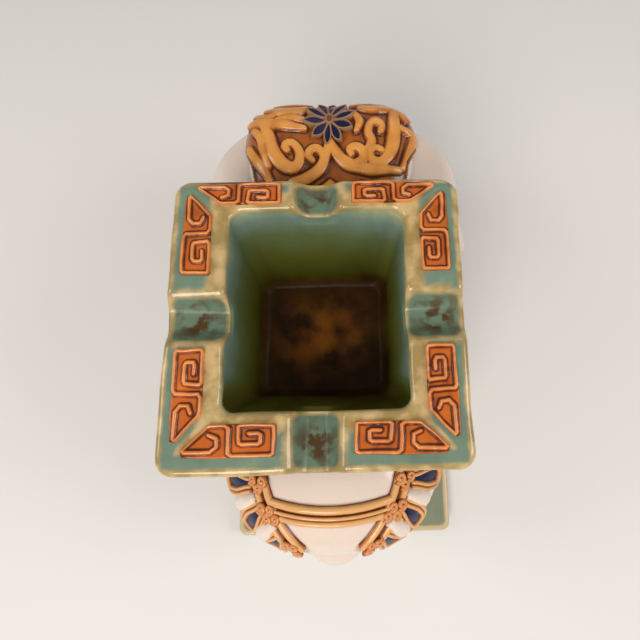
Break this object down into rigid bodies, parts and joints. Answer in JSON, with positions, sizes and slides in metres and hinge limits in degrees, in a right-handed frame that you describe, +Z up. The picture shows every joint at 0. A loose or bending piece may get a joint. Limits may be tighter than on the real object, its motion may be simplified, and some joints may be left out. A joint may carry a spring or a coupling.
{
  "type": "elephant ashtray",
  "caption": "Glazed earthenware ashtray: a deep square tray with cigarette rests and a Greek-key rim, carried on the back of a harnessed elephant on a slab base.",
  "frame": {"origin": "on the underside of the base slab, below the middle of the tray's depth, on the elephant's middle plane", "axes": "+Z up, +Y the way the elephant faces, +X to the elephant's right"},
  "size_m": [0.157, 0.2739, 0.1819],
  "materials": {
    "white_glaze": "glossy cream-white glaze over buff earthenware",
    "gold_glaze": "glossy amber glaze that pools brown in the relief",
    "green_glaze": "glossy copper-green glaze, cream where it breaks over edges",
    "amber_glaze": "glossy red-amber glaze",
    "blue_glaze": "glossy dark cobalt glaze"
  },
  "bodies": {
    "root": {"torso": "white_glaze", "head": "white_glaze", "trunk": "white_glaze", "ear_left": "white_glaze", "ear_right": "white_glaze", "tusk_left": "white_glaze", "tusk_right": "white_glaze", "tail": "white_glaze", "leg_front_left": "white_glaze", "leg_front_right": "white_glaze", "leg_rear_left": "white_glaze", "leg_rear_right": "white_glaze", "petal_1_left": "white_glaze", "petal_1_right": "white_glaze", "petal_2_left": "white_glaze", "petal_2_right": "white_glaze", "head_cap": "gold_glaze", "saddle_cloth": "gold_glaze", "strap_left": "gold_glaze", "strap_right": "gold_glaze", "croup_band": "gold_glaze", "ash_tray": "green_glaze", "base_slab": "green_glaze", "fret_near_left": "amber_glaze", "fret_near_right": "amber_glaze", "fret_left_near": "amber_glaze", "fret_right_near": "amber_glaze", "fret_left_far": "amber_glaze", "fret_right_far": "amber_glaze", "fret_far_left": "amber_glaze", "fret_far_right": "amber_glaze", "lappet_1_left": "blue_glaze", "lappet_1_right": "blue_glaze", "lappet_2_left": "blue_glaze", "lappet_2_right": "blue_glaze", "lappet_3_left": "blue_glaze", "lappet_3_right": "blue_glaze", "cap_flower": "blue_glaze", "eye_left": "blue_glaze", "eye_right": "blue_glaze"}
  },
  "joints": []
}
